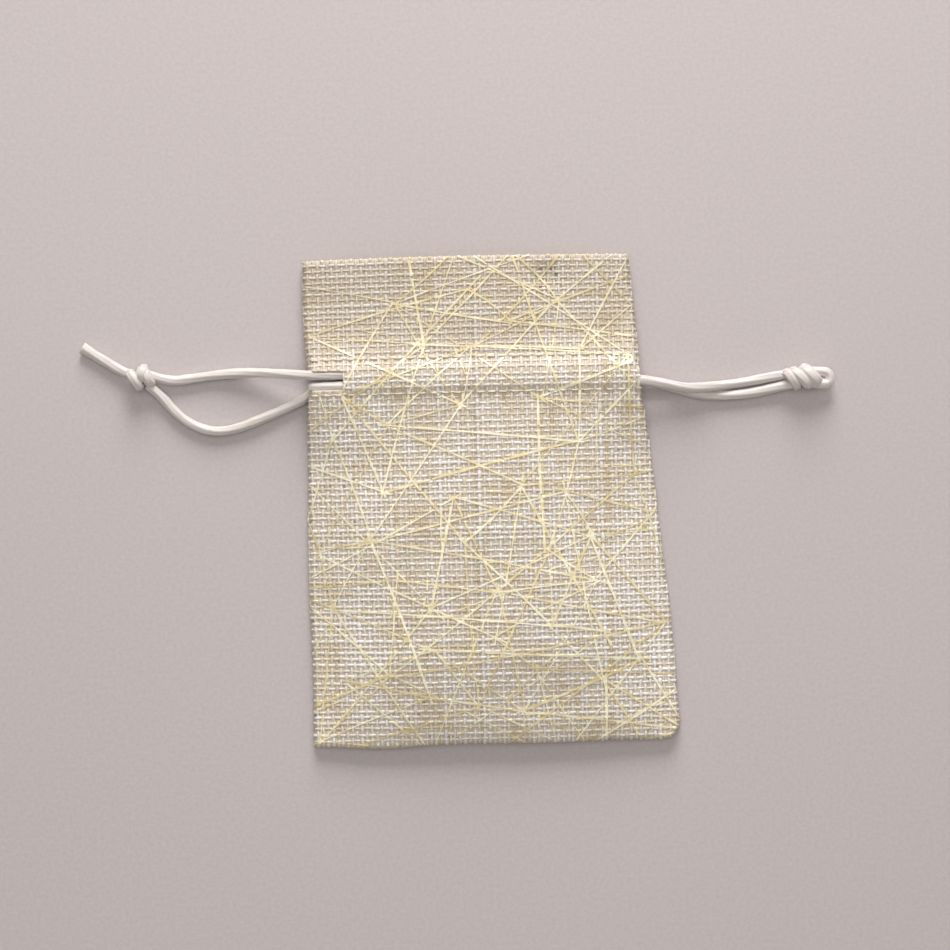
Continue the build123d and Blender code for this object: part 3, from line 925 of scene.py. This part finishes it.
def nurbs_points(route, closed=False):
    """Points along the smooth line through a route's control points, in millimetres."""
    curve = bpy.data.curves.new("route", "CURVE")
    curve.dimensions = "3D"
    spline = curve.splines.new("NURBS")
    spline.points.add(len(route) - 1)
    for point, place in zip(spline.points, route):
        point.co = (*(c * MM for c in place), 1.0)
    spline.use_cyclic_u = closed
    spline.order_u = 3
    spline.use_endpoint_u = not closed
    spline.resolution_u = 10
    holder = bpy.data.objects.new("route", curve)
    scene.collection.objects.link(holder)
    bpy.context.view_layer.update()
    line = bpy.data.meshes.new_from_object(holder)
    points = np.array([v.co for v in line.vertices], float) / MM
    bpy.data.objects.remove(holder)
    bpy.data.meshes.remove(line)
    steps = np.linalg.norm(np.diff(points, axis=0), axis=1)
    return points[np.concatenate([[True], steps > 1e-4])]


def evenly(points, spacing):
    """The same line with its points about one spacing apart."""
    along = distances(points)
    count = max(4, int(round(along[-1] / spacing)))
    at = np.linspace(0, along[-1], count + 1)
    return np.stack([np.interp(at, along, points[:, k]) for k in range(3)], 1)


def frames(points):
    """Two directions across the line at each point, carried along it without twist."""
    tangent = unit(np.gradient(points, axis=0))
    side = np.cross(tangent[0], [0, 0, 1.0])
    side = side / np.linalg.norm(side)
    sides = []
    for t in tangent:
        side = side - t * np.dot(side, t)
        side = side / np.linalg.norm(side)
        sides.append(side)
    sides = np.array(sides)
    return sides, np.cross(sides, tangent)


def ribbed(lines, name, node, body, seed, radius=CORD_RADIUS, flare=0.0):
    """Cord tubes with fine ribs that wind slowly round them, as one mesh. radius is one for all
    tubes or one for each, and flare is how much wider and flatter a tube's end gets."""
    points, faces, uv, flat = [], [], [], []
    count = 0
    for number, line in enumerate(lines):
        draw = np.random.default_rng(seed * 100 + number)
        line = evenly(line, CORD_STEP)
        side, up = frames(line)
        rings = len(line)
        along = distances(line)
        angle = 2 * np.pi * np.arange(AROUND) / AROUND
        wind = along[:, None] * 0.045 + draw.random() * 6
        swell = 1 + 0.03 * np.sin(along * 0.41 + draw.random() * 6) + 0.02 * np.sin(along * 1.3)
        deep = 0.7 + 0.3 * np.sin(angle[None, :] * 2)
        rib = 1 + RIB_DEPTH * np.cos(RIBS * (angle[None, :] + wind)) * deep
        r = np.broadcast_to(radius, len(lines))[number] * swell[:, None] * rib
        flatten = 1 - 0.08 * np.sin(along * 0.19 + number)
        spread = flare * np.exp((along - along[-1]) / 2.4)
        r = r * (1 + spread[:, None])
        flatten = flatten - 1.3 * spread
        ring = rings_round(line, side, up, r, r * flatten[:, None], angle)
        ring[..., 2] = np.maximum(ring[..., 2], 0.03)
        points.append(ring.reshape(-1, 3))
        k, s = np.meshgrid(np.arange(rings - 1), np.arange(AROUND), indexing="ij")
        after = (s + 1) % AROUND
        quads = np.stack(
            [k * AROUND + s, (k + 1) * AROUND + s, (k + 1) * AROUND + after, k * AROUND + after], -1
        ).reshape(-1, 4) + count
        faces += quads.tolist()
        faces.append(list(range(count, count + AROUND)))
        last = count + (rings - 1) * AROUND
        faces.append(list(range(last + AROUND - 1, last - 1, -1)))
        share, total = along / along[-1], len(lines)
        u = np.stack([share[k], share[k + 1], share[k + 1], share[k]], -1).ravel()
        v = np.stack([s, s, s + 1, s + 1], -1).ravel() / AROUND
        cap = np.arange(AROUND) / AROUND
        u = np.concatenate([u, np.zeros(AROUND), np.ones(AROUND)])
        v = np.concatenate([v, cap, cap[::-1]])
        uv.append(np.stack([u, (number + 0.02 + 0.96 * v) / total], 1))
        length = along[-1] / 10
        turned = np.concatenate([v[:-2 * AROUND], cap, cap]) * 0.8
        flat.append(np.stack([u * length, turned], 1))
        count += rings * AROUND
    obj = new_mesh(name, np.concatenate(points), faces, np.concatenate(uv))
    layer = obj.data.uv_layers.new(name="Cloth")
    layer.data.foreach_set("uv", np.concatenate(flat).astype(np.float32).ravel())
    obj.data.materials.append(MATERIALS["cord"])
    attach(obj, body)
    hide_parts(node)
    return obj


# control points of the cords' middles, as in the CAD
LEFT_LOOP = [
    (-98.4, 38.6, 2.6), (-92.6, 36.3, 1.5), (-85.3, 37.3, 1.4), (-76.8, 38.3, 1.5), (-68.4, 38.5, 2.9),
    (-60.4, 37.9, 5.3), (-51.4, 37.0, 7.5), (-41.6, 36.9, 9.2), (-18.6, 36.9, 11.6), (4.5, 36.9, 11.85),
    (27.6, 36.9, 9.95), (41.65, 36.9, 7.5), (41.65, 36.9, 2.25), (32.0, 36.9, 2.25), (16.0, 37.0, 2.25),
    (-4.0, 36.85, 2.25), (-24.0, 37.0, 2.25), (-41.4, 36.9, 2.2), (-46.8, 35.6, 1.45), (-50.6, 32.6, 1.4),
    (-54.4, 29.9, 1.4), (-60.4, 27.3, 1.4), (-66.4, 24.9, 1.4), (-73.0, 22.4, 1.4), (-79.8, 21.5, 1.4),
    (-86.4, 23.8, 1.4), (-91.4, 28.0, 1.4), (-94.8, 32.5, 1.5), (-98.6, 35.6, 2.6),
]
RIGHT_LOOP = [
    (88.4, 34.7, 2.8), (83.4, 34.1, 1.6), (77.2, 33.0, 1.4), (70.4, 31.9, 1.5), (63.8, 31.3, 2.9),
    (57.2, 31.0, 4.4), (50.6, 32.4, 5.7), (42.6, 33.8, 7.35), (33.4, 33.8, 9.1), (12.0, 33.8, 11.45),
    (-9.5, 33.8, 11.95), (-31.0, 33.8, 10.6), (-43.0, 33.7, 8.75), (-51.0, 33.4, 7.9), (-51.0, 34.2, 4.4),
    (-45.6, 34.0, 4.4), (-39.8, 33.8, 2.3), (-32.0, 33.9, 2.25), (-14.0, 33.75, 2.25), (6.0, 33.9, 2.25),
    (24.0, 33.75, 2.25), (37.0, 33.8, 2.25), (46.6, 33.2, 2.1), (53.4, 31.3, 1.4), (60.4, 29.2, 1.4),
    (67.9, 28.6, 1.4), (75.6, 29.2, 1.4), (82.6, 30.6, 1.6), (88.4, 31.8, 2.8),
]
LEFT_TAIL = [(-102.2, 38.2, 3.0), (-106.2, 39.8, 1.6), (-111.2, 43.0, 1.4), (-117.3, 46.9, 1.4)]
RIGHT_END = [
    (91.0, 34.9, 3.6), (95.0, 35.0, 3.2), (98.2, 34.5, 2.9), (98.2, 31.2, 2.9), (94.6, 31.5, 3.2),
    (91.0, 32.0, 3.6),
]


def knot_turns(centre, heading, turns):
    """Turns of cord round a knot, as closed rings of control points. Each turn is its cord's radius,
    its place along and across the knot, how far it leans along it, its half width and half height,
    and the height of its middle."""
    ahead = np.array([np.cos(heading), np.sin(heading)])
    aside = np.array([-np.sin(heading), np.cos(heading)])
    made = []
    for radius, along, across, lean, wide, high, height in turns:
        ring = []
        for angle in 2 * np.pi * np.arange(8) / 8:
            forward, sideways = along - lean * np.cos(angle), across + wide * np.cos(angle)
            place = np.array(centre) + ahead * forward + aside * sideways
            ring.append((*place, height + high * np.sin(angle)))
        made.append((radius, ring))
    return made


LEFT_KNOT = knot_turns((-100.5, 37.7), 0.21, [
    (1.38, -1.7, -0.2, 0.9, 2.3, 1.85, 3.2),
    (1.5, 2.0, -0.2, 0.5, 2.1, 1.7, 3.25),
    (1.55, 0.8, 0.95, -0.8, 1.3, 1.5, 3.5),
])
RIGHT_KNOT = knot_turns((90.2, 33.4), 0.14, [
    (1.4, -2.9, 0.0, 1.2, 2.2, 1.7, 3.15),
    (1.5, -0.3, -0.1, 1.9, 2.3, 1.9, 3.4),
    (2.0, 2.5, 0.1, 1.3, 1.8, 1.4, 3.35),
])


def knot(name, node, turns, body, seed):
    """A knot of several turns of cord."""
    lines = [nurbs_points(ring, closed=True) for _, ring in turns]
    closed = [np.concatenate([line, line[:1]]) for line in lines]
    return ribbed(closed, name, node, body, seed, radius=[radius for radius, _ in turns])


def cord_loop(name, node, route, body, seed):
    """A loop of cord from its knot, through the casing and back to its knot."""
    line = nurbs_points(route)
    obj = ribbed([line], name, node, body, seed)


left_knot = knot("left_knot", "left_drawstring_knot", LEFT_KNOT, "left_drawstring", 5)
right_knot = knot("right_knot", "right_drawstring_knot", RIGHT_KNOT, "right_drawstring", 6)
left_tail = ribbed(
    [nurbs_points(LEFT_TAIL)], "left_tail", "left_drawstring_tail", "left_drawstring", 2, flare=0.32
)
right_end = ribbed(
    [nurbs_points(RIGHT_END)], "right_end", "right_drawstring_end", "right_drawstring", 4, radius=1.48
)
cord_loop("left_loop", "left_drawstring_loop", LEFT_LOOP, "left_drawstring", 1)
cord_loop("right_loop", "right_drawstring_loop", RIGHT_LOOP, "right_drawstring", 3)

# ---- floor, light and camera ----
def floor_material():
    n = Nodes("floor_card")
    place = n.node("TexCoord").outputs["Object"]
    fine = n.noise(place, 900.0, 4.0, 0.7)
    colour = n.mix(n.noise(place, 6.0, 2.0, 0.5), srgb(189, 179, 177), srgb(194, 184, 182))
    colour = n.mix(n.range(fine, 0.35, 0.65, 0.0, 0.3), colour, srgb(162, 152, 150))
    n.values(Base_Color=colour, Roughness=0.9)
    n.bump(fine, 0.25, 0.0002)
    return n.material


FLOOR = 3000.0           # half of its width
floor_corners = [(-FLOOR, -FLOOR, 0), (FLOOR, -FLOOR, 0), (FLOOR, FLOOR, 0), (-FLOOR, FLOOR, 0)]
floor = new_mesh("floor", floor_corners, [(0, 1, 2, 3)], smooth=False)
floor.data.materials.append(floor_material())

world = bpy.data.worlds.new("studio")
scene.world = world
world.use_nodes = True
background = world.node_tree.nodes["Background"].inputs
background["Color"].default_value = (1.0, 0.985, 0.98, 1.0)
background["Strength"].default_value = 0.33


def area_light(name, place, target, size, power, spread=180.0):
    lamp = bpy.data.lights.new(name, "AREA")
    lamp.shape, lamp.size, lamp.energy = "SQUARE", size, power
    lamp.spread = np.radians(spread)
    obj = bpy.data.objects.new(name, lamp)
    obj.location = place
    aim = Vector(target) - Vector(place)
    obj.rotation_euler = aim.to_track_quat("-Z", "Y").to_euler()
    scene.collection.objects.link(obj)


area_light("window", (0.03, 0.9, 0.38), (0, 0, 0), 0.5, 2.9, spread=84.0)
area_light("ceiling", (0.0, 0.15, 1.6), (0, 0, 0), 1.3, 9.5)

camera_data = bpy.data.cameras.new("camera")
camera = bpy.data.objects.new("camera", camera_data)
camera_data.sensor_width = 36.0
camera_data.lens = 98.4
camera_data.clip_start = 0.01
camera.location = (-4.7 * MM, 7.4 * MM, 0.752)
camera.rotation_euler = (0.0, 0.0, -0.02356)
scene.collection.objects.link(camera)
scene.camera = camera
scene.view_settings.view_transform = "Standard"
